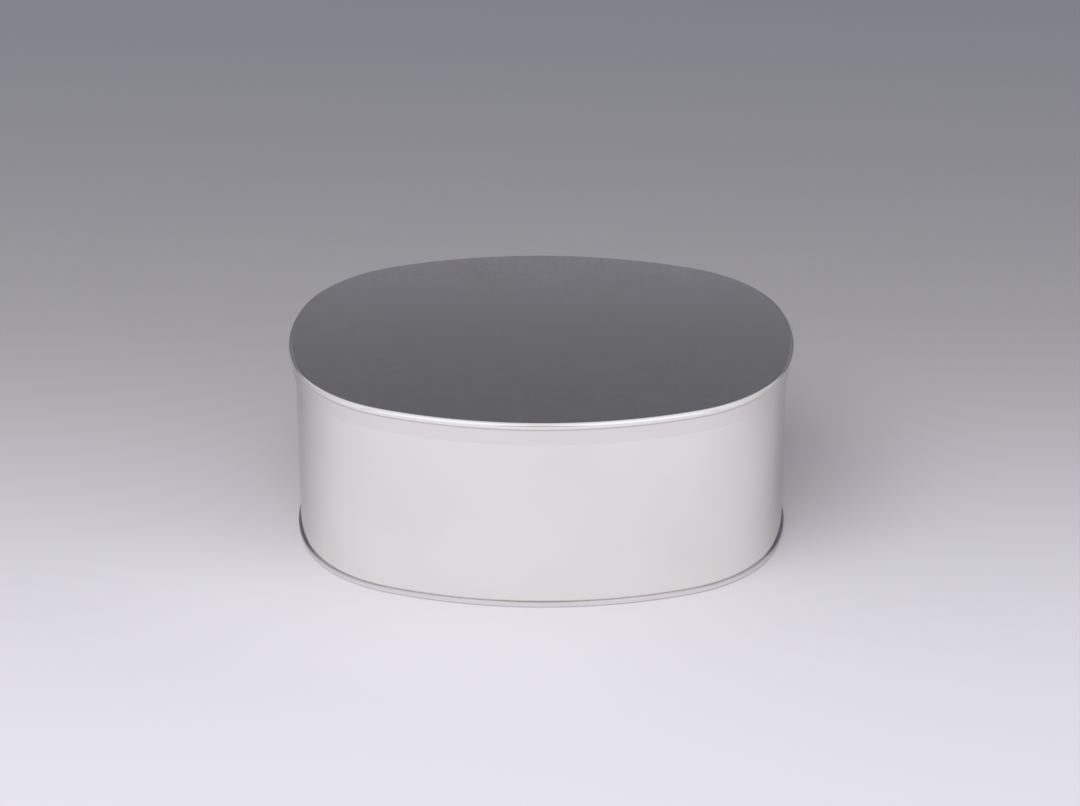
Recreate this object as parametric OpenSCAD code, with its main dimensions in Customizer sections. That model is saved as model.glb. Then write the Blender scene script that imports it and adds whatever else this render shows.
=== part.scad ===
// Oval silver box with a pull-off lid.
// The plan is an oval of eight arcs: two ends, two long sides and four shoulders between them.
// Each arc runs smoothly into the next, so every offset of the oval is made of arcs about the
// same centres. The origin is the middle of the underside, +X along the length, +Y to the back.

/* [Oval] */
// Length of the body wall, measured outside
body_l = 99.5; // [84:0.5:130]
// Breadth of the body wall, measured outside
body_b = 74; // [66:0.5:90]
// Radius of the four shoulders, at the outside of the wall
shoulder_r = 28.25; // [22:0.25:31]

/* [Body] */
// Height of the wall above the base plate
wall_h = 39.5; // [20:0.1:80]
// Thickness of the wall sheet
wall_t = 0.8; // [0.6:0.05:1.5]
// Bevel round the outside of the mouth, which leads the lid on
mouth_bevel = 0.35; // [0.3:0.05:0.4]
// Width of the soldered butt joints at the back
seam_w = 0.2; // [0.1:0.05:0.5]

/* [Base] */
// Thickness of the base plate
base_t = 1.1; // [0.8:0.1:3]
// How far the base plate stands out past the wall
base_ledge = 0.5; // [0.4:0.05:3]
// Bevel on both edges of the base plate
base_bevel = 0.2; // [0.1:0.05:0.35]
// Leg of the solder fillet inside the foot of the wall
base_fillet = 0.5; // [0.2:0.05:1.5]

/* [Lid] */
// Thickness of the lid plate
lid_t = 1; // [0.9:0.05:2]
// Depth of the skirt below the plate
skirt_h = 3.9; // [2:0.1:12]
// Thickness of the skirt sheet
skirt_t = 0.5; // [0.4:0.05:1.5]
// Gap all round between the skirt and the wall that it slips over
lid_clearance = 0.15; // [0.1:0.05:0.5]
// Bevel inside the free edge of the skirt
skirt_bevel = 0.2; // [0.1:0.05:0.4]
// Leg of the solder fillet between the skirt and the underside of the plate
lid_fillet = 0.2; // [0.1:0.05:0.25]
// Height of the half-round wire round the edge of the lid
wire_h = 1.5; // [1.2:0.1:2.4]
// How far the wire stands out past the skirt
wire_d = 0.65; // [0.4:0.05:1]

/* [Hidden] */
$fn = 240;

sheet_colour = "silver";
wire_colour = "gainsboro";
solder_colour = "darkgray";

function to_hundredth(v) = round(100 * v) / 100;

// Angles that an end arc and a side arc turn through on each side of the middle planes. They belong
// to the 7:24:25 and 44:117:125 triangles, so the joints of the arcs have exact sines and cosines.
end_turn = asin(7 / 25);
side_turn = asin(44 / 125);
shoulder_turn = 90 - end_turn - side_turn;

// How much wider the end and side arcs are than the shoulders, so that the arcs of one quarter
// add up to half the length and half the breadth
spare_l = body_l / 2 - shoulder_r;
spare_b = body_b / 2 - shoulder_r;
end_rise = 1 - cos(end_turn);
side_rise = 1 - cos(side_turn);
turn_product = sin(end_turn) * sin(side_turn) - end_rise * side_rise;
end_excess = to_hundredth((spare_b * sin(side_turn) - spare_l * side_rise) / turn_product);
side_excess = to_hundredth((spare_l * sin(end_turn) - spare_b * end_rise) / turn_product);

end_r = shoulder_r + end_excess;
side_r = shoulder_r + side_excess;
shoulder_x = side_excess * sin(side_turn);
shoulder_y = end_excess * sin(end_turn);

// Each quarter runs past the middle planes by this angle before it is trimmed to them, and its
// shoulder is swept from both joints, each time through this share of its turn
past_turn = 2;
shoulder_share = 0.6;
reach = body_l + body_b + wall_h;

// A flat plate is a swept margin round an eight-sided core. The core's corners lie under the joints
// of the arcs, and the margin is wide enough to reach past the core's sides.
core_inset = 1;
side_sagitta = side_r * side_rise;
shoulder_sagitta = shoulder_r * (1 - cos(shoulder_turn / 2));
margin = max(side_sagitta, shoulder_sagitta) + 2 * core_inset;
core_quarter = [
    for (angle = [end_turn, 90 - side_turn])
        [shoulder_x, shoulder_y] + (shoulder_r - core_inset) * [cos(angle), sin(angle)]
];
core_corners = concat(
    core_quarter,
    [for (i = [1, 0]) [-core_quarter[i][0], core_quarter[i][1]]],
    [for (i = [0, 1]) -core_quarter[i]],
    [for (i = [1, 0]) [core_quarter[i][0], -core_quarter[i][1]]]
);

// Heights, and offsets outwards from the outside of the wall
rim_z = base_t + wall_h;
lid_top_z = rim_z + lid_t;
skirt_out = lid_clearance + skirt_t;
wire_r = (wire_d * wire_d + wire_h * wire_h / 4) / (2 * wire_d);

// Sweeps a section along one arc: x is the offset outwards from the wall, y is the height
module arc_sweep(centre_x, arc_r, start, turn) {
    translate([centre_x, 0])
        rotate_extrude(start = start, angle = turn)
            translate([arc_r, 0])
                children();
}

// Sweeps a section along a quarter of the oval
module quarter_sweep() {
    half_turn = shoulder_share * shoulder_turn;
    intersection() {
        translate([shoulder_x, shoulder_y]) {
            rotate(end_turn) {
                arc_sweep(-end_excess, end_r, -end_turn - past_turn, end_turn + past_turn)
                    children();
                arc_sweep(0, shoulder_r, 0, half_turn)
                    children();
            }
            rotate(90 - side_turn) {
                arc_sweep(0, shoulder_r, -half_turn, half_turn)
                    children();
                arc_sweep(-side_excess, side_r, 0, side_turn + past_turn)
                    children();
            }
        }
        translate([0, 0, -reach])
            cube([reach, reach, 2 * reach]);
    }
}

// Sweeps a section along the whole oval
module oval_sweep() {
    for (over_x = [0, 1], over_y = [0, 1])
        mirror([over_x, 0, 0])
            mirror([0, over_y, 0])
                quarter_sweep()
                    children();
}

// The narrow gap at the middle of the back, where a bent strip meets its own end
module seam_gap() {
    translate([-seam_w / 2, 0, -reach])
        cube([seam_w, reach, 2 * reach]);
}

module open_sweep() {
    difference() {
        oval_sweep()
            children();
        seam_gap();
    }
}

module seam_sweep() {
    intersection() {
        oval_sweep()
            children();
        seam_gap();
    }
}

// The middle of a flat plate, which fills its swept margin
module plate_core(low_z, thickness) {
    translate([0, 0, low_z])
        linear_extrude(thickness)
            polygon(core_corners);
}

module wall_section() {
    polygon([
        [-wall_t, base_t],
        [0, base_t],
        [0, rim_z - mouth_bevel],
        [-mouth_bevel, rim_z],
        [-wall_t, rim_z]
    ]);
}

module skirt_section() {
    low_z = rim_z - skirt_h;
    polygon([
        [lid_clearance + skirt_bevel, low_z],
        [skirt_out, low_z],
        [skirt_out, rim_z],
        [lid_clearance, rim_z],
        [lid_clearance, low_z + skirt_bevel]
    ]);
}

module wire_section() {
    translate([skirt_out, lid_top_z - wire_h / 2])
        intersection() {
            translate([wire_d - wire_r, 0])
                circle(r = wire_r);
            translate([0, -wire_h])
                square(2 * wire_h);
        }
}

module base_plate() {
    color(sheet_colour) {
        plate_core(0, base_t);
        oval_sweep()
            polygon([
                [-margin, 0],
                [base_ledge - base_bevel, 0],
                [base_ledge, base_bevel],
                [base_ledge, base_t - base_bevel],
                [base_ledge - base_bevel, base_t],
                [-margin, base_t]
            ]);
    }
}

module base_solder() {
    color(solder_colour)
        oval_sweep()
            polygon([
                [-wall_t, base_t],
                [-wall_t, base_t + base_fillet],
                [-wall_t - base_fillet, base_t]
            ]);
}

module body_wall() {
    color(sheet_colour)
        open_sweep()
            wall_section();
}

module wall_seam() {
    color(solder_colour)
        seam_sweep()
            wall_section();
}

module lid_plate() {
    color(sheet_colour) {
        plate_core(rim_z, lid_t);
        oval_sweep()
            translate([-margin, rim_z])
                square([margin + skirt_out, lid_t]);
    }
}

module lid_skirt() {
    color(sheet_colour)
        open_sweep()
            skirt_section();
}

module skirt_seam() {
    color(solder_colour)
        seam_sweep()
            skirt_section();
}

module lid_solder() {
    color(solder_colour)
        oval_sweep()
            polygon([
                [lid_clearance, rim_z],
                [lid_clearance, rim_z - lid_fillet],
                [lid_clearance - lid_fillet, rim_z]
            ]);
}

module lid_edge_wire() {
    color(wire_colour)
        open_sweep()
            wire_section();
}

module wire_seam() {
    color(solder_colour)
        seam_sweep()
            wire_section();
}

base_plate();
base_solder();
body_wall();
wall_seam();
lid_plate();
lid_skirt();
skirt_seam();
lid_solder();
lid_edge_wire();
wire_seam();
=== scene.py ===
import math
from collections import namedtuple

import bpy
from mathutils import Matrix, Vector


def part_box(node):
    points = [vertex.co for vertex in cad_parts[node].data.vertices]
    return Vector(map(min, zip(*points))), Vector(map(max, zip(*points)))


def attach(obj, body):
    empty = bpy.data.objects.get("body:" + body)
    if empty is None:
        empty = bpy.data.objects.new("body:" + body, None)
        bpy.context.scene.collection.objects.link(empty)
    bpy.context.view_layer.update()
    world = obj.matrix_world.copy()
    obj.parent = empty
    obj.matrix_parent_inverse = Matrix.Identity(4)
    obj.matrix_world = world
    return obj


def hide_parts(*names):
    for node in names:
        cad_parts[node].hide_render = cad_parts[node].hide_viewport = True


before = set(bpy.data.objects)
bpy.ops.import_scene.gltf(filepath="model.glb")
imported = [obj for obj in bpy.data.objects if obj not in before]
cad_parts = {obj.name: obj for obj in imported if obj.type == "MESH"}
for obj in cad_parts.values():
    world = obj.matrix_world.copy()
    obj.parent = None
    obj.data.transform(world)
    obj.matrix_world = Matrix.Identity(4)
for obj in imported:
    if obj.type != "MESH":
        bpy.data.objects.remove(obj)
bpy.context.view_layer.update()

MM = 0.001
UM = 0.000001

# Sizes, read from the solids
_, wall_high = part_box("body_wall")
wall_seam_low, wall_seam_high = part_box("wall_seam")
_, base_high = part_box("base_plate")
base_solder_low, base_solder_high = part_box("base_solder")
_, lid_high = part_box("lid_plate")
skirt_low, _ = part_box("lid_skirt")
skirt_seam_low, skirt_seam_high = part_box("skirt_seam")
lid_solder_low, lid_solder_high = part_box("lid_solder")
wire_low, wire_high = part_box("lid_edge_wire")

HALF_L = wall_high.x
HALF_B = wall_seam_high.y
WALL_T = wall_seam_high.y - wall_seam_low.y
SEAM_W = wall_seam_high.x - wall_seam_low.x
RIM_Z = wall_high.z
BASE_T = base_high.z
BASE_LEDGE = base_high.x - HALF_L
BASE_FILLET = base_solder_high.z - base_solder_low.z
LID_TOP_Z = lid_high.z
CLEARANCE = skirt_seam_low.y - HALF_B
SKIRT_OUT = skirt_seam_high.y - HALF_B
SKIRT_LOW_Z = skirt_low.z
LID_FILLET = lid_solder_high.z - lid_solder_low.z
WIRE_LOW_Z = wire_low.z
WIRE_D = wire_high.x - HALF_L - SKIRT_OUT

# The oval: the shoulder radius, and the turn of the end and side arcs from the middle planes,
# which belong to the 7:24:25 and 44:117:125 triangles
SHOULDER_R = 28.25 * MM
END_TURN = math.asin(7 / 25)
SIDE_TURN = math.asin(44 / 125)

# Bevels of the solids, and the soft rounding that hand finishing leaves on their corners
MOUTH_BEVEL = 0.35 * MM
BASE_BEVEL = 0.2 * MM
SKIRT_BEVEL = 0.2 * MM
SOFT_EDGE = 0.09 * MM
FINE_EDGE = 0.04 * MM

# Mesh fineness
SEGMENT_L = 0.6 * MM
SEAM_STEPS = 4
EDGE_STEPS = 4
WIRE_STEPS = 28
FILLET_STEPS = 6
PLATE_RINGS = 14

# Width of the swept edge of a plate, inwards from the outside of the wall
PLATE_MARGIN = 2 * MM

# Angles round the oval. It starts at the middle of the back, where the seams are.
QUARTER_TURN = math.pi / 2
FULL_TURN = 2 * math.pi
BACK = QUARTER_TURN
TINY = 1e-9

# Material slots of a plate and of a strip
EDGE_SLOT, UNDER_SLOT, TOP_SLOT = 0, 1, 2
OUTSIDE_SLOT, INSIDE_SLOT = 0, 1

# An arc of the oval between two angles, a place along the oval, and a point of a section.
# A section lies in a plane: x is the offset outwards from the wall, y is the height.
Arc = namedtuple("Arc", "x y radius low high")
Station = namedtuple("Station", "x y radius angle length")
SectionPoint = namedtuple("SectionPoint", "point normal")


def oval_arcs():
    """The arcs of the oval, anticlockwise from the middle of the back."""
    spare_l = HALF_L - SHOULDER_R
    spare_b = HALF_B - SHOULDER_R
    end_rise = 1 - math.cos(END_TURN)
    side_rise = 1 - math.cos(SIDE_TURN)
    end_sin = math.sin(END_TURN)
    side_sin = math.sin(SIDE_TURN)
    product = end_sin * side_sin - end_rise * side_rise
    end_excess = (spare_b * side_sin - spare_l * side_rise) / product
    side_excess = (spare_l * end_sin - spare_b * end_rise) / product
    end_r = SHOULDER_R + end_excess
    side_r = SHOULDER_R + side_excess
    shoulder_x = side_excess * side_sin
    shoulder_y = end_excess * end_sin
    end_x = HALF_L - end_r
    side_y = side_r - HALF_B
    left = BACK + QUARTER_TURN
    front = left + QUARTER_TURN
    right = front + QUARTER_TURN
    again = right + QUARTER_TURN
    return [
        Arc(0, -side_y, side_r, BACK, BACK + SIDE_TURN),
        Arc(-shoulder_x, shoulder_y, SHOULDER_R, BACK + SIDE_TURN, left - END_TURN),
        Arc(-end_x, 0, end_r, left - END_TURN, left + END_TURN),
        Arc(-shoulder_x, -shoulder_y, SHOULDER_R, left + END_TURN, front - SIDE_TURN),
        Arc(0, side_y, side_r, front - SIDE_TURN, front + SIDE_TURN),
        Arc(shoulder_x, -shoulder_y, SHOULDER_R, front + SIDE_TURN, right - END_TURN),
        Arc(end_x, 0, end_r, right - END_TURN, right + END_TURN),
        Arc(shoulder_x, shoulder_y, SHOULDER_R, right + END_TURN, again - SIDE_TURN),
        Arc(0, -side_y, side_r, again - SIDE_TURN, again),
    ]


ARCS = oval_arcs()
SEAM_TURN = SEAM_W / 2 / ARCS[0].radius


def stations(start, end, segment):
    """Places along the oval between two angles, no further apart than a segment."""
    found = []
    length = 0.0
    for turn in (0, FULL_TURN):
        for arc in ARCS:
            low = max(arc.low + turn, start)
            high = min(arc.high + turn, end)
            if high - low < TINY:
                continue
            steps = max(1, math.ceil(arc.radius * (high - low) / segment))
            step = (high - low) / steps
            for i in range(steps):
                along = length + i * step * arc.radius
                found.append(Station(arc.x, arc.y, arc.radius, low + i * step, along))
            length += arc.radius * (high - low)
            last = Station(arc.x, arc.y, arc.radius, high, length)
    return found + [last]


WHOLE_OVAL = stations(BACK, BACK + FULL_TURN, SEGMENT_L)
OPEN_OVAL = stations(BACK + SEAM_TURN, BACK + FULL_TURN - SEAM_TURN, SEGMENT_L)
SEAM_ONLY = stations(BACK + FULL_TURN - SEAM_TURN, BACK + FULL_TURN + SEAM_TURN, SEAM_W / SEAM_STEPS)


def outward(a, b):
    """The normal on the right of the way from a to b, in the plane of a section."""
    way = Vector((b[0] - a[0], b[1] - a[1])).normalized()
    return Vector((way.y, -way.x))


def corner_arc(before, corner, after, radius):
    """The rounded corner of a section."""
    corner = Vector(corner)
    n_in = outward(before, corner)
    n_out = outward(corner, after)
    half = n_in.angle(n_out) / 2
    bisector = (n_in + n_out).normalized()
    convex = n_in.x * n_out.y - n_in.y * n_out.x > 0
    side = 1 if convex else -1
    centre = corner - side * bisector * radius / math.cos(half)
    arc = []
    for i in range(EDGE_STEPS + 1):
        normal = n_in.slerp(n_out, i / EDGE_STEPS)
        arc.append(SectionPoint(centre + side * normal * radius, normal))
    return arc


def rounded(points, radii, closed=True):
    """A section with rounded corners, anticlockwise. The ends of an open one stay sharp."""
    section = []
    count = len(points)
    for i, (point, radius) in enumerate(zip(points, radii)):
        if not closed and i == 0:
            section.append(SectionPoint(Vector(point), outward(point, points[1])))
        elif not closed and i == count - 1:
            section.append(SectionPoint(Vector(point), outward(points[i - 1], point)))
        else:
            section += corner_arc(points[i - 1], point, points[(i + 1) % count], radius)
    return section


class Build:
    """Collects faces with their own corner normals and strip coordinates, and makes a mesh object."""

    def __init__(self):
        self.points = []
        self.faces = []
        self.normals = []
        self.strip = []
        self.slots = []

    def add_points(self, points):
        """Adds points and gives the number of the first."""
        first = len(self.points)
        self.points += points
        return first

    def add_face(self, corners, normals, strip, slot):
        self.faces.append(corners)
        self.normals += normals
        self.strip += strip
        self.slots.append(slot)

    def finish(self, name, materials):
        mesh = bpy.data.meshes.new(name)
        mesh.from_pydata(self.points, [], self.faces)
        mesh.polygons.foreach_set("use_smooth", [True] * len(self.faces))
        mesh.polygons.foreach_set("material_index", self.slots)
        layer = mesh.uv_layers.new(name="strip")
        layer.uv.foreach_set("vector", [value for pair in self.strip for value in pair])
        for material in materials:
            mesh.materials.append(material)
        mesh.normals_split_custom_set(self.normals)
        piece = bpy.data.objects.new(name, mesh)
        bpy.context.scene.collection.objects.link(piece)
        return piece


def place(station, point):
    """Where a point of a section comes to lie at a station."""
    reach = station.radius + point.x
    x = station.x + reach * math.cos(station.angle)
    y = station.y + reach * math.sin(station.angle)
    return (x, y, point.y)


def turned(station, normal):
    """A section's normal at a station."""
    return (normal.x * math.cos(station.angle), normal.x * math.sin(station.angle), normal.y)


def section_lengths(section):
    """Length along a section at each of its points, and once round it."""
    lengths = [0.0]
    for a, b in zip(section, section[1:] + section[:1]):
        lengths.append(lengths[-1] + (b.point - a.point).length)
    return lengths


def sweep(build, section, path, ring, loop, slot_of):
    """Carries a section along the path. ring: the path closes. loop: the section closes."""
    count = len(section)
    lengths = section_lengths(section)
    stops = path[:-1] if ring else path
    first = build.add_points([place(stop, corner.point) for stop in stops for corner in section])
    for i in range(len(path) - 1):
        here, there = path[i], path[i + 1]
        row = first + i * count
        next_row = first + ((i + 1) % len(stops)) * count
        for j in range(count if loop else count - 1):
            k = (j + 1) % count
            corners = (row + j, next_row + j, next_row + k, row + k)
            normals = [
                turned(here, section[j].normal),
                turned(there, section[j].normal),
                turned(there, section[k].normal),
                turned(here, section[k].normal),
            ]
            strip = [
                (here.length, lengths[j]),
                (there.length, lengths[j]),
                (there.length, lengths[j + 1]),
                (here.length, lengths[j + 1]),
            ]
            build.add_face(corners, normals, strip, slot_of(section[j], section[k]))
    return first


def cap_ends(build, section, path, first):
    """Closes both ends of an open sweep."""
    count = len(section)
    last = first + (len(path) - 1) * count
    start = list(range(first, first + count))
    end = list(range(last, last + count))
    strip = [tuple(corner.point) for corner in section]
    for station, corners, way in ((path[0], start, 1), (path[-1], end[::-1], -1)):
        normal = (way * math.sin(station.angle), -way * math.cos(station.angle), 0)
        build.add_face(corners, [normal] * count, strip, OUTSIDE_SLOT)


def one_slot(_, __):
    return OUTSIDE_SLOT


def satin_within(inner_x):
    """Chooses the slots of a strip whose inner face is left satin."""

    def slot_of(a, b):
        return INSIDE_SLOT if max(a.point.x, b.point.x) <= inner_x + TINY else OUTSIDE_SLOT

    return slot_of


def strip_piece(name, section, materials, slot_of=one_slot):
    """A bent strip or wire whose ends meet at the seam."""
    build = Build()
    first = sweep(build, section, OPEN_OVAL, False, True, slot_of)
    cap_ends(build, section, OPEN_OVAL, first)
    return build.finish(name, materials)


def seam_piece(name, section, materials):
    """The solder that fills a strip's butt joint."""
    build = Build()
    first = sweep(build, section, SEAM_ONLY, False, True, one_slot)
    cap_ends(build, section, SEAM_ONLY, first)
    return build.finish(name, materials)


def ring_piece(name, section, materials):
    """A closed ring of one section."""
    build = Build()
    sweep(build, section, WHOLE_OVAL, True, True, one_slot)
    return build.finish(name, materials)


def fill_face(build, first, count, stops, way, slot):
    """Fills a flat oval with rings that shrink from the sweep's inner edge to the middle."""
    normal = (0, 0, way)
    outer = [first + i * count for i in range(stops)]
    rim = [Vector(build.points[i]) for i in outer]
    height = rim[0].z
    rings = [outer]
    for r in range(1, PLATE_RINGS):
        share = 1 - r / PLATE_RINGS
        start = build.add_points([(p.x * share, p.y * share, height) for p in rim])
        rings.append(list(range(start, start + stops)))
    middle = build.add_points([(0, 0, height)])

    def face(corners):
        corners = corners if way > 0 else corners[::-1]
        strip = [tuple(build.points[i][:2]) for i in corners]
        build.add_face(corners, [normal] * len(corners), strip, slot)

    for outside, inside in zip(rings, rings[1:]):
        for i in range(stops):
            n = (i + 1) % stops
            face([outside[i], outside[n], inside[n], inside[i]])
    for i in range(stops):
        face([rings[-1][i], rings[-1][(i + 1) % stops], middle])


def plate_piece(name, section, materials):
    """A flat sheet with a swept edge and filled faces. Materials: edge, under, top."""
    build = Build()
    count = len(section)
    under_z = section[0].point.y

    def slot_of(a, b):
        if max(a.point.y, b.point.y) <= under_z + TINY:
            return UNDER_SLOT
        return TOP_SLOT if b is section[-1] else EDGE_SLOT

    first = sweep(build, section, WHOLE_OVAL, True, False, slot_of)
    stops = len(WHOLE_OVAL) - 1
    fill_face(build, first, count, stops, -1, UNDER_SLOT)
    fill_face(build, first + count - 1, count, stops, 1, TOP_SLOT)
    return build.finish(name, materials)


def fillet_section(corner, leg, way):
    """A hollow solder fillet between a wall outside it and a plate below (way 1) or above (-1)."""
    x, z = corner
    centre = Vector((x - leg, z + way * leg))
    curve = []
    for i in range(FILLET_STEPS + 1):
        angle = i / FILLET_STEPS * QUARTER_TURN
        spoke = Vector((math.cos(angle), -way * math.sin(angle)))
        curve.append(SectionPoint(centre + leg * spoke, -spoke))
    root = SectionPoint(Vector((x, z)), Vector((1, -way)).normalized())
    return [root] + curve[::way]


def wall_section():
    return rounded(
        [
            (-WALL_T, BASE_T),
            (0, BASE_T),
            (0, RIM_Z - MOUTH_BEVEL),
            (-MOUTH_BEVEL, RIM_Z),
            (-WALL_T, RIM_Z),
        ],
        [FINE_EDGE, FINE_EDGE, SOFT_EDGE, SOFT_EDGE, SOFT_EDGE],
    )


def skirt_section():
    return rounded(
        [
            (CLEARANCE + SKIRT_BEVEL, SKIRT_LOW_Z),
            (SKIRT_OUT, SKIRT_LOW_Z),
            (SKIRT_OUT, RIM_Z),
            (CLEARANCE, RIM_Z),
            (CLEARANCE, SKIRT_LOW_Z + SKIRT_BEVEL),
        ],
        [FINE_EDGE, SOFT_EDGE, FINE_EDGE, FINE_EDGE, FINE_EDGE],
    )


def wire_section():
    """A half-round whose flat side lies against the lid's edge, with its two sharp edges softened."""
    height = LID_TOP_Z - WIRE_LOW_Z
    radius = (WIRE_D ** 2 + height ** 2 / 4) / (2 * WIRE_D)
    centre = Vector((SKIRT_OUT + WIRE_D - radius, WIRE_LOW_Z + height / 2))
    reach = math.acos((radius - WIRE_D) / radius)
    section = []
    for i in range(WIRE_STEPS + 1):
        angle = reach * (2 * i / WIRE_STEPS - 1)
        normal = Vector((math.cos(angle), math.sin(angle)))
        section.append(SectionPoint(centre + radius * normal, normal))
    inward = Vector((-1, 0))
    for flat_z in (LID_TOP_Z - FINE_EDGE, WIRE_LOW_Z + FINE_EDGE):
        section.append(SectionPoint(Vector((SKIRT_OUT, flat_z)), inward))
    return section


def base_section():
    """The edge of the base plate, with a point under the wall where the satin floor of the box begins."""
    section = rounded(
        [
            (-PLATE_MARGIN, 0),
            (BASE_LEDGE - BASE_BEVEL, 0),
            (BASE_LEDGE, BASE_BEVEL),
            (BASE_LEDGE, BASE_T - BASE_BEVEL),
            (BASE_LEDGE - BASE_BEVEL, BASE_T),
            (-PLATE_MARGIN, BASE_T),
        ],
        [0, SOFT_EDGE, SOFT_EDGE, SOFT_EDGE, SOFT_EDGE, 0],
        closed=False,
    )
    under_wall = SectionPoint(Vector((-WALL_T / 2, BASE_T)), Vector((0, 1)))
    return section[:-1] + [under_wall, section[-1]]


def lid_section():
    return rounded(
        [
            (-PLATE_MARGIN, RIM_Z),
            (SKIRT_OUT, RIM_Z),
            (SKIRT_OUT, LID_TOP_Z),
            (-PLATE_MARGIN, LID_TOP_Z),
        ],
        [0, FINE_EDGE, FINE_EDGE, 0],
        closed=False,
    )


# Sockets of a Mix node that it uses for colours
MIX_SHARE = 0
MIX_A = 6
MIX_B = 7
MIX_RESULT = 2


class Nodes:
    """Short ways to add nodes to an empty node tree."""

    def __init__(self, tree):
        self.nodes = tree.nodes
        self.links = tree.links
        self.nodes.clear()

    def add(self, kind, inputs, **settings):
        node = self.nodes.new(kind)
        for key, value in settings.items():
            setattr(node, key, value)
        for key, value in inputs.items():
            self.put(value, node.inputs[key])
        return node

    def put(self, value, socket):
        """Links another node's socket, or sets a plain value."""
        if isinstance(value, bpy.types.NodeSocket):
            self.links.new(value, socket)
        else:
            socket.default_value = value

    def split(self, vector, axis):
        return self.add("ShaderNodeSeparateXYZ", {"Vector": vector}).outputs[axis]

    def math(self, operation, a, b=0.0):
        return self.add("ShaderNodeMath", {0: a, 1: b}, operation=operation).outputs["Value"]

    def ramp(self, value, low, high, to_low=0.0, to_high=1.0):
        """Leads a value between two limits smoothly over to another range."""
        inputs = {"Value": value, "From Min": low, "From Max": high, "To Min": to_low, "To Max": to_high}
        return self.add("ShaderNodeMapRange", inputs, interpolation_type="SMOOTHSTEP").outputs["Result"]

    def steps(self, value, low, high, stops, interpolation="LINEAR"):
        """Colours at stops between two values, each with a place from 0 to 1."""
        share = self.math("DIVIDE", self.math("SUBTRACT", value, low), high - low)
        node = self.add("ShaderNodeValToRGB", {"Fac": share})
        node.color_ramp.interpolation = interpolation
        elements = node.color_ramp.elements
        # A new stop starts in the middle and is then moved to its place
        while len(elements) < len(stops):
            elements.new(0.5)
        for element, (position, colour) in zip(elements, stops):
            element.position = position
            element.color = (*colour, 1)
        return node.outputs["Color"]

    def mix(self, share, a, b):
        inputs = {MIX_SHARE: share, MIX_A: a, MIX_B: b}
        return self.add("ShaderNodeMix", inputs, data_type="RGBA").outputs[MIX_RESULT]


# Marks in the silver: their length and width, and the noise above which a mark shows
Marks = namedtuple("Marks", "length width threshold")
POLISH_MARKS = Marks(9 * MM, 0.07 * MM, 0.62)
BUFFING_MARKS = Marks(30 * MM, 0.16 * MM, 0.5)
RUB_MARKS = Marks(2.5 * MM, 0.12 * MM, 0.56)
# How much further the noise rises from the edge of a mark to its middle
MARK_RISE = 0.12


class Shader(Nodes):
    """A material with a Principled shader."""

    def __init__(self, name):
        self.material = bpy.data.materials.new(name)
        self.material.use_nodes = True
        super().__init__(self.material.node_tree)
        self.surface = self.nodes.new("ShaderNodeBsdfPrincipled")
        output = self.nodes.new("ShaderNodeOutputMaterial")
        self.links.new(self.surface.outputs["BSDF"], output.inputs["Surface"])

    def set(self, inputs):
        for key, value in inputs.items():
            self.put(value, self.surface.inputs[key])

    def strip_place(self):
        return self.add("ShaderNodeUVMap", {}, uv_map="strip").outputs["UV"]

    def object_place(self):
        return self.add("ShaderNodeTexCoord", {}).outputs["Object"]

    def clouds(self, where, size, detail):
        """Soft noise from 0 to 1, with spots of about the given size."""
        inputs = {"Vector": where, "Scale": 1 / size, "Detail": detail}
        return self.add("ShaderNodeTexNoise", inputs).outputs["Fac"]

    def hairlines(self, where, turn, marks, start):
        """Thin straight marks along one direction, 1 on a mark and 0 between them."""
        inputs = {
            "Vector": where,
            "Location": (start, 2 * start, 0),
            "Rotation": (0, 0, turn),
            "Scale": (marks.length, marks.width, 1),
        }
        mapped = self.add("ShaderNodeMapping", inputs, vector_type="TEXTURE").outputs["Vector"]
        inputs = {"Vector": mapped, "Scale": 1.0, "Detail": 1.0}
        noise = self.add("ShaderNodeTexNoise", inputs, noise_dimensions="2D").outputs["Fac"]
        return self.ramp(noise, marks.threshold, marks.threshold + MARK_RISE)

    def bump(self, height, depth, normal=None):
        inputs = {"Height": height, "Distance": depth, "Strength": 1.0}
        if normal is not None:
            inputs["Normal"] = normal
        return self.add("ShaderNodeBump", inputs).outputs["Normal"]


CLEAN_SILVER = (0.93, 0.91, 0.875, 1)
# Lighter than the sheet, so that the wire's highlight comes out brighter: a painted highlight
BRIGHT_SILVER = (0.975, 0.965, 0.94, 1)
BAND_SILVER = (0.88, 0.86, 0.825, 1)
EDGE_SILVER = (0.86, 0.835, 0.84, 1)
SATIN_SILVER = (0.90, 0.89, 0.88, 1)
WARM_TARNISH = (0.82, 0.775, 0.69, 1)
# Dark tarnish in the solder's pits, and painted shade in the corners of the silver
DARK_TARNISH_AND_SHADE = (0.335, 0.31, 0.325, 1)
EDGE_TINT = (0.82, 0.82, 0.82, 1)
SOLDER_COLOUR = (0.80, 0.775, 0.72, 1)

# Limits between which most of a cloud noise lies
CLOUD_RANGE = (0.3, 0.7)

# Polished silver: the size and detail of its tarnish clouds, and the most that they tint
TARNISH_SIZE = 22 * MM
TARNISH_DETAIL = 3.0
TARNISH_RANGE = (0.45, 0.8)
TARNISH_MOST = 0.2
# The unevenness of the dark tarnish and painted shade in a corner, and the least that is left of it
CREASE_SIZE = 1.4 * MM
CREASE_DETAIL = 2.0
CREASE_LEAST = 0.85
# The unevenness of the sheet
WAVE_SIZE = 11 * MM
WAVE_DETAIL = 1.0
# Least and most of the plain roughness, as shares of it
POLISH_LEAST = 0.85
POLISH_MOST = 1.3
# Buffing: its share of the marks' roughness, and its turn in radians
BUFFING_SHARE = 0.2
BUFFING_TURN = 0.04
# Roughness where the lid rubs, and half the height over which it sets in
RUB_ROUGHNESS = 0.16
RUB_BLEND = 0.6 * MM
# Where each set of marks starts in the noise, so that no two sets are alike
POLISH_START = 17 * MM
RUB_START = 70 * MM
BUFFING_START = 90 * MM
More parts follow.
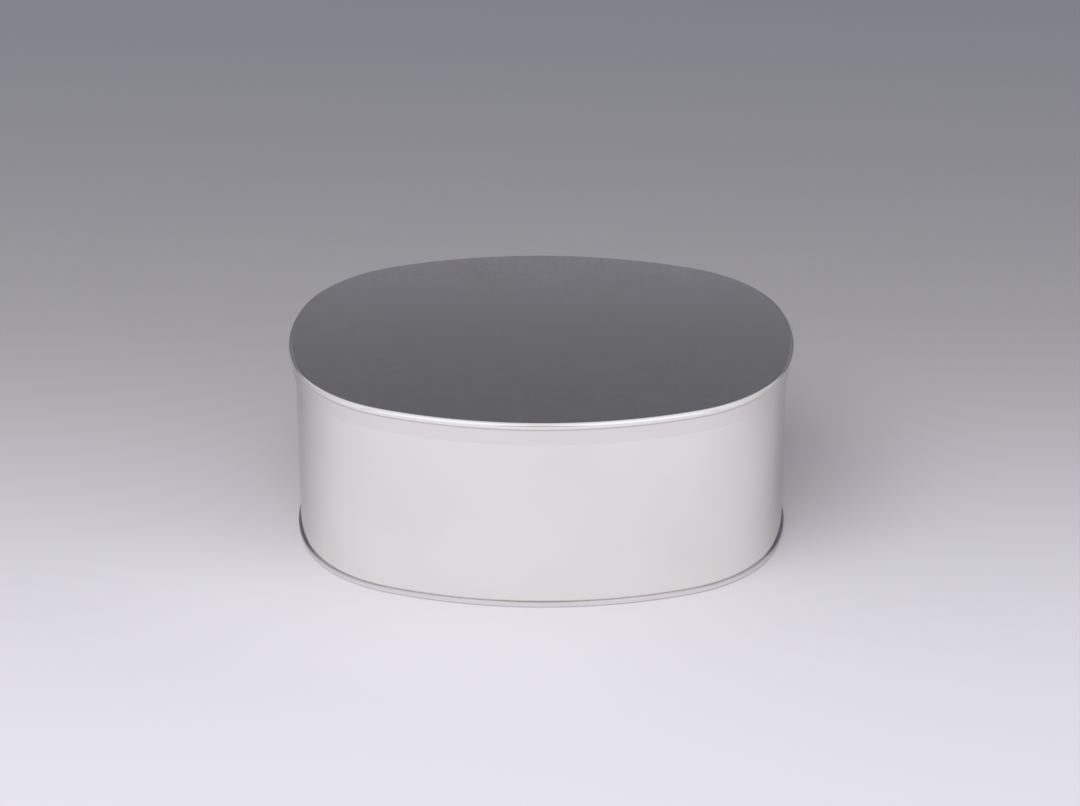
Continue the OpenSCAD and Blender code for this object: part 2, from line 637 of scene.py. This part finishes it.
# Depths of the marks
POLISH_DEPTH = 0.4 * UM
BUFFING_DEPTH = 0.06 * UM

# Dark tarnish with painted shade in a corner: the heights where it ends and where it is darkest, and its
# share there
TarnishAndShade = namedtuple("TarnishAndShade", "clean_z dark_z share")
FOOT_TARNISH_AND_SHADE = TarnishAndShade(BASE_T + 0.5 * MM, BASE_T, 0.36)
WIRE_TARNISH_AND_SHADE = TarnishAndShade(WIRE_LOW_Z - 0.45 * MM, WIRE_LOW_Z - 0.05 * MM, 0.5)
LEDGE_TARNISH_AND_SHADE = TarnishAndShade(BASE_T - 0.3 * MM, BASE_T - 0.1 * MM, 0.36)

# Directions of the polishing marks: every way on a flat sheet, along a strip
ALL_WAYS = [math.radians(a) for a in (17, 71, -38, -82)]
ALONG = [math.radians(a) for a in (0, 4, -5)]


def polish_lines(shader, where, turns):
    """Polishing marks in several directions together."""
    total = None
    for i, turn in enumerate(turns):
        lines = shader.hairlines(where, turn, POLISH_MARKS, POLISH_START * (i + 1))
        total = lines if total is None else shader.math("MAXIMUM", total, lines)
    return total


def tarnished_and_shaded(shader, body, clouds, clean, tarnish_and_shade):
    """The silver's colour: faint warm clouds, and dark tarnish with painted shade in a corner."""
    warm = shader.ramp(clouds, *TARNISH_RANGE, 0.0, TARNISH_MOST)
    colour = shader.mix(warm, clean, WARM_TARNISH)
    if tarnish_and_shade is None:
        return colour
    near = shader.ramp(shader.split(body, "Z"), tarnish_and_shade.clean_z, tarnish_and_shade.dark_z, 0.0, tarnish_and_shade.share)
    spots = shader.clouds(body, CREASE_SIZE, CREASE_DETAIL)
    uneven = shader.ramp(spots, *CLOUD_RANGE, CREASE_LEAST, 1.0)
    return shader.mix(shader.math("MULTIPLY", near, uneven), colour, DARK_TARNISH_AND_SHADE)


def rubbed(shader, body, where, rub_z):
    """Roughness of the upright marks that the lid leaves above a height."""
    lines = shader.hairlines(where, QUARTER_TURN, RUB_MARKS, RUB_START)
    height = shader.split(body, "Z")
    above = shader.ramp(height, rub_z - RUB_BLEND, rub_z + RUB_BLEND, 0.0, RUB_ROUGHNESS)
    return shader.math("MULTIPLY", lines, above)


def silver(name, clean, polish, marks, turns, wave, bent=True, tarnish_and_shade=None, rub_z=None):
    """Polished silver sheet: faint tarnish clouds, polishing marks, a slightly uneven surface.

    clean: colour without tarnish. polish: plain roughness. marks: what polishing marks add to it.
    turns: directions of the marks. wave: depth of the unevenness. bent: marks follow the bent strip.
    crease: dark tarnish with painted shade in a corner. rub_z: height above which the lid has rubbed the
    sheet.
    """
    shader = Shader(name)
    body = shader.object_place()
    where = shader.strip_place() if bent else body
    clouds = shader.clouds(body, TARNISH_SIZE, TARNISH_DETAIL)
    lines = polish_lines(shader, where, turns)
    buffing = shader.hairlines(where, BUFFING_TURN, BUFFING_MARKS, BUFFING_START)

    rough = shader.ramp(clouds, *CLOUD_RANGE, polish * POLISH_LEAST, polish * POLISH_MOST)
    rough = shader.math("ADD", rough, shader.math("MULTIPLY", lines, marks))
    rough = shader.math("ADD", rough, shader.math("MULTIPLY", buffing, marks * BUFFING_SHARE))
    if rub_z is not None:
        rough = shader.math("ADD", rough, rubbed(shader, body, where, rub_z))

    normal = shader.bump(shader.clouds(body, WAVE_SIZE, WAVE_DETAIL), wave)
    normal = shader.bump(buffing, BUFFING_DEPTH, normal)
    normal = shader.bump(lines, POLISH_DEPTH, normal)
    shader.set({
        "Base Color": tarnished_and_shaded(shader, body, clouds, clean, tarnish_and_shade),
        "Roughness": rough,
        "Normal": normal,
        "Metallic": 1.0,
        "Specular Tint": EDGE_TINT,
    })
    return shader.material


# Satin silver: its stains, and its fine grain
STAIN_SIZE = 16 * MM
STAIN_DETAIL = 4.0
STAIN_RANGE = (0.4, 0.72)
STAIN_MOST = 0.2
GRAIN_SIZE = 0.5 * MM
GRAIN_DETAIL = 2.0
GRAIN_DEPTH = 1.5 * UM
SATIN_ROUGHNESS = (0.3, 0.34)
GRAIN_ROUGHNESS = 0.06


def satin_silver(name):
    """Silver left dull, as it comes from the acid bath: a fine white grain and soft stains."""
    shader = Shader(name)
    body = shader.object_place()
    clouds = shader.clouds(body, STAIN_SIZE, STAIN_DETAIL)
    grain = shader.clouds(body, GRAIN_SIZE, GRAIN_DETAIL)
    stains = shader.ramp(clouds, *STAIN_RANGE, 0.0, STAIN_MOST)
    soft = shader.ramp(clouds, *CLOUD_RANGE, *SATIN_ROUGHNESS)
    grainy = shader.ramp(grain, *CLOUD_RANGE, 0.0, GRAIN_ROUGHNESS)
    shader.set({
        "Base Color": shader.mix(stains, SATIN_SILVER, WARM_TARNISH),
        "Roughness": shader.math("ADD", soft, grainy),
        "Normal": shader.bump(grain, GRAIN_DEPTH),
        "Metallic": 1.0,
    })
    return shader.material


# Solder: its fine pits, and the most that tarnish darkens them
PIT_SIZE = 0.35 * MM
PIT_DETAIL = 3.0
PIT_RANGE = (0.35, 0.75)
PIT_MOST = 0.35
PIT_DEPTH = 6 * UM
SOLDER_ROUGHNESS = (0.22, 0.4)


def solder(name):
    """Silver solder: a little yellower and duller than the sheet, with fine pits."""
    shader = Shader(name)
    pits = shader.clouds(shader.object_place(), PIT_SIZE, PIT_DETAIL)
    dark = shader.ramp(pits, *PIT_RANGE, 0.0, PIT_MOST)
    shader.set({
        "Base Color": shader.mix(dark, SOLDER_COLOUR, DARK_TARNISH_AND_SHADE),
        "Roughness": shader.ramp(pits, *CLOUD_RANGE, *SOLDER_ROUGHNESS),
        "Normal": shader.bump(pits, PIT_DEPTH),
        "Metallic": 1.0,
    })
    return shader.material


LID_SILVER = silver(
    "lid_silver", BAND_SILVER, polish=0.06, marks=0.1, turns=ALL_WAYS, wave=3 * UM, bent=False
)
# The wall's foot, the skirt under the wire and the top of the base get dark tarnish with painted shade
WALL_SILVER = silver(
    "wall_silver", CLEAN_SILVER, polish=0.1, marks=0.1, turns=ALONG, wave=5 * UM,
    tarnish_and_shade=FOOT_TARNISH_AND_SHADE, rub_z=SKIRT_LOW_Z,
)
SKIRT_SILVER = silver(
    "skirt_silver", BAND_SILVER, polish=0.11, marks=0.1, turns=ALONG, wave=3 * UM, tarnish_and_shade=WIRE_TARNISH_AND_SHADE
)
WIRE_SILVER = silver(
    "wire_silver", BRIGHT_SILVER, polish=0.09, marks=0.08, turns=ALONG, wave=2 * UM
)
BASE_SILVER = silver(
    "base_silver", EDGE_SILVER, polish=0.22, marks=0.08, turns=ALONG, wave=4 * UM, tarnish_and_shade=LEDGE_TARNISH_AND_SHADE
)
UNDER_SILVER = silver(
    "scuffed_silver", CLEAN_SILVER, polish=0.22, marks=0.3, turns=ALL_WAYS, wave=6 * UM, bent=False
)
INSIDE_SILVER = satin_silver("satin_silver")
SOLDER = solder("silver_solder")


def add_piece(piece, node, body):
    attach(piece, body)
    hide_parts(node)


def build_body():
    base = plate_piece("base_sheet", base_section(), [BASE_SILVER, UNDER_SILVER, INSIDE_SILVER])
    wall_materials = [WALL_SILVER, INSIDE_SILVER]
    wall = strip_piece("wall_strip", wall_section(), wall_materials, satin_within(-WALL_T))
    seam = seam_piece("wall_joint", wall_section(), [SOLDER])
    fillet = ring_piece("foot_fillet", fillet_section((-WALL_T, BASE_T), BASE_FILLET, 1), [SOLDER])
    add_piece(base, "base_plate", "body")
    add_piece(wall, "body_wall", "body")
    add_piece(seam, "wall_seam", "body")
    add_piece(fillet, "base_solder", "body")


def build_lid():
    lid = plate_piece("lid_sheet", lid_section(), [LID_SILVER, INSIDE_SILVER, LID_SILVER])
    skirt_materials = [SKIRT_SILVER, INSIDE_SILVER]
    skirt = strip_piece("skirt_strip", skirt_section(), skirt_materials, satin_within(CLEARANCE))
    seam = seam_piece("skirt_joint", skirt_section(), [SOLDER])
    fillet = ring_piece("lid_fillet", fillet_section((CLEARANCE, RIM_Z), LID_FILLET, -1), [SOLDER])
    wire = strip_piece("edge_wire", wire_section(), [WIRE_SILVER])
    wire_seam = seam_piece("wire_joint", wire_section(), [SOLDER])
    add_piece(lid, "lid_plate", "lid")
    add_piece(skirt, "lid_skirt", "lid")
    add_piece(seam, "skirt_seam", "lid")
    add_piece(fillet, "lid_solder", "lid")
    add_piece(wire, "lid_edge_wire", "lid")
    add_piece(wire_seam, "wire_seam", "lid")


# Camera, at the photograph's angle
CAMERA_DISTANCE = 0.75
CAMERA_ELEVATION = math.radians(27.72)
CAMERA_TURN = math.radians(0.52)
CAMERA_AIM = Vector((-0.26, 0, 26.21)) * MM
CAMERA_LENS = 122.4
CAMERA_SENSOR = 36


def add_aimed(name, data, target, distance, turn, elevation):
    """Adds a camera or lamp in front of a target, turned to the right and raised, looking at it."""
    flat = math.cos(elevation)
    back = Vector((math.sin(turn) * flat, -math.cos(turn) * flat, math.sin(elevation)))
    thing = bpy.data.objects.new(name, data)
    thing.location = target + back * distance
    thing.rotation_mode = "QUATERNION"
    thing.rotation_quaternion = (-back).to_track_quat("-Z", "Y")
    bpy.context.scene.collection.objects.link(thing)
    return thing


def add_camera():
    data = bpy.data.cameras.new("camera")
    data.lens = CAMERA_LENS
    data.sensor_width = CAMERA_SENSOR
    camera = add_aimed("camera", data, CAMERA_AIM, CAMERA_DISTANCE, CAMERA_TURN, CAMERA_ELEVATION)
    bpy.context.scene.camera = camera


# Floor of matt paper: pale in front of the box and greyer behind it
FLOOR_HALF = 15.0
FLOOR_ROUGHNESS = 0.9
FLOOR_FRONT_Y = -0.11
FLOOR_BACK_Y = 0.29
FLOOR_STOPS = [
    (0.0, (0.80, 0.785, 0.84)),
    (0.2, (0.715, 0.695, 0.735)),
    (0.36, (0.475, 0.46, 0.48)),
    (0.5, (0.365, 0.355, 0.37)),
    (0.7, (0.295, 0.292, 0.31)),
    (1.0, (0.245, 0.248, 0.275)),
]

# Light that the silver wall throws on the floor in front of it: its share of the floor's tone, how far
# it is shifted to the left, half the breadths of the two ovals that it fades between, and the depth
# where it starts to fade towards the back
GLOW_SHARE = 0.07
GLOW_SHIFT = 15 * MM
GLOW_NEAR = 36 * MM
GLOW_FAR = 75 * MM
GLOW_FRONT_Y = -30 * MM


def wall_glow(shader, spot, depth):
    """How many times brighter the floor is for the light that the wall throws on it."""
    squeeze = {0: spot, 1: (HALF_B / HALF_L, 1, 1), 2: (GLOW_SHIFT, 0, 0)}
    squeezed = shader.add("ShaderNodeVectorMath", squeeze, operation="MULTIPLY_ADD").outputs["Vector"]
    reach = shader.add("ShaderNodeVectorMath", {0: squeezed}, operation="LENGTH").outputs["Value"]
    glow = shader.ramp(reach, GLOW_NEAR, GLOW_FAR, GLOW_SHARE, 0.0)
    front = shader.ramp(depth, GLOW_FRONT_Y, 0.0, 1.0, 0.0)
    return shader.math("ADD", 1.0, shader.math("MULTIPLY", glow, front))


def floor_paper():
    shader = Shader("floor_paper")
    spot = shader.object_place()
    depth = shader.split(spot, "Y")
    colour = shader.steps(depth, FLOOR_FRONT_Y, FLOOR_BACK_Y, FLOOR_STOPS, "B_SPLINE")
    inputs = {0: colour, "Scale": wall_glow(shader, spot, depth)}
    lit = shader.add("ShaderNodeVectorMath", inputs, operation="SCALE").outputs["Vector"]
    shader.set({"Base Color": lit, "Roughness": FLOOR_ROUGHNESS, "Specular IOR Level": 0.0})
    return shader.material


def add_floor():
    half = FLOOR_HALF
    corners = [(-half, -half, 0), (half, -half, 0), (half, half, 0), (-half, half, 0)]
    mesh = bpy.data.meshes.new("floor")
    mesh.from_pydata(corners, [], [(0, 1, 2, 3)])
    mesh.materials.append(floor_paper())
    floor = bpy.data.objects.new("floor", mesh)
    bpy.context.scene.collection.objects.link(floor)


# Studio: the room's tone by the sine of the elevation, in front of the box and behind it
TINT_BEHIND = (1.0, 1.0, 1.15)
TINT_BEFORE = (1.0, 1.0, 1.02)
GREY = (1.0, 1.0, 1.0)
TONES_BEHIND = [
    (0.0, 0.17),
    (0.06, 0.15),
    (0.2, 0.15),
    (0.33, 0.17),
    (0.41, 0.265),
    (0.43, 0.265),
    (0.445, 0.152),
    (0.4685, 0.128),
    (0.54, 0.1),
    (0.74, 0.085),
    (0.86, 0.36),
    (0.94, 0.46),
    (1.0, 0.5),
]
TONES_BEFORE = [
    (0.0, 0.56),
    (0.07, 0.92),
    (0.2, 0.94),
    (0.45, 0.95),
    (0.6, 1.06),
    (0.86, 1.06),
    (0.95, 0.94),
    (1.0, 0.84),
]
# Share of the room behind, by how far a direction points to the back
SHARE_BEHIND = [(0.0, 0.0), (0.22, 0.0), (0.5, 0.4), (0.72, 0.5), (0.82, 1.0), (1.0, 1.0)]
# How much the camera and its stand in front, and the gaps between the light panels, darken the room,
# by the turn from the front in degrees
STAND_SHADES = [(0, 0.45), (8, 0.45), (13, 0), (47, 0), (53, 0.35), (57, 0.35), (63, 0), (180, 0)]
CAMERA_SHADES = [(0, 0.5), (2, 0.5), (6.5, 0), (47, 0), (53, 0.35), (57, 0.35), (63, 0), (180, 0)]
MOST_DEGREES = 180
# Sines of the elevation between which the stand gives way to the camera, and all shades end
STAND_TOP = (0.52, 0.6)
SHADE_TOP = (0.8, 0.93)


def tinted(stops, tint):
    return [(position, [tone * part for part in tint]) for position, tone in stops]


def shade_round(room, degrees, shades):
    """The shade by the turn from the front."""
    stops = [(turn / MOST_DEGREES, shade) for turn, shade in shades]
    return room.steps(degrees, 0, MOST_DEGREES, tinted(stops, GREY), "B_SPLINE")


def add_room():
    world = bpy.data.worlds.new("studio")
    world.use_nodes = True
    room = Nodes(world.node_tree)
    way = room.add("ShaderNodeTexCoord", {}).outputs["Generated"]
    x, y, z = (room.split(way, axis) for axis in "XYZ")
    behind = room.steps(z, 0, 1, tinted(TONES_BEHIND, TINT_BEHIND))
    before = room.steps(z, 0, 1, tinted(TONES_BEFORE, TINT_BEFORE))
    share = room.steps(y, -1, 1, tinted(SHARE_BEHIND, GREY))
    tone = room.mix(share, before, behind)
    turn = room.math("ABSOLUTE", room.math("ARCTAN2", x, room.math("MULTIPLY", y, -1.0)))
    degrees = room.math("DEGREES", turn)
    stand = shade_round(room, degrees, STAND_SHADES)
    camera = shade_round(room, degrees, CAMERA_SHADES)
    shade = room.mix(room.ramp(z, *STAND_TOP), stand, camera)
    low = room.ramp(z, *SHADE_TOP, 1.0, 0.0)
    strength = room.math("SUBTRACT", 1.0, room.math("MULTIPLY", shade, low))
    background = room.add("ShaderNodeBackground", {"Color": tone, "Strength": strength})
    room.add("ShaderNodeOutputWorld", {"Surface": background.outputs["Background"]})
    bpy.context.scene.world = world


# Softbox, aimed at the foot of the box
KEY_AIM = Vector((0, 0, 0))
KEY_TURN = math.radians(-30)
KEY_ELEVATION = math.radians(55)
KEY_DISTANCE = 1.2
KEY_SIZE = (1.1, 0.7)
KEY_POWER = 6.3


def add_key_lamp():
    """A large softbox above and in front of the box, to the left. The silver mirrors only the room."""
    data = bpy.data.lights.new("softbox", "AREA")
    data.shape = "RECTANGLE"
    data.size, data.size_y = KEY_SIZE
    data.energy = KEY_POWER
    lamp = add_aimed("softbox", data, KEY_AIM, KEY_DISTANCE, KEY_TURN, KEY_ELEVATION)
    lamp.visible_glossy = False


add_camera()
build_body()
build_lid()
add_floor()
add_room()
add_key_lamp()
bpy.context.scene.view_settings.view_transform = "Standard"
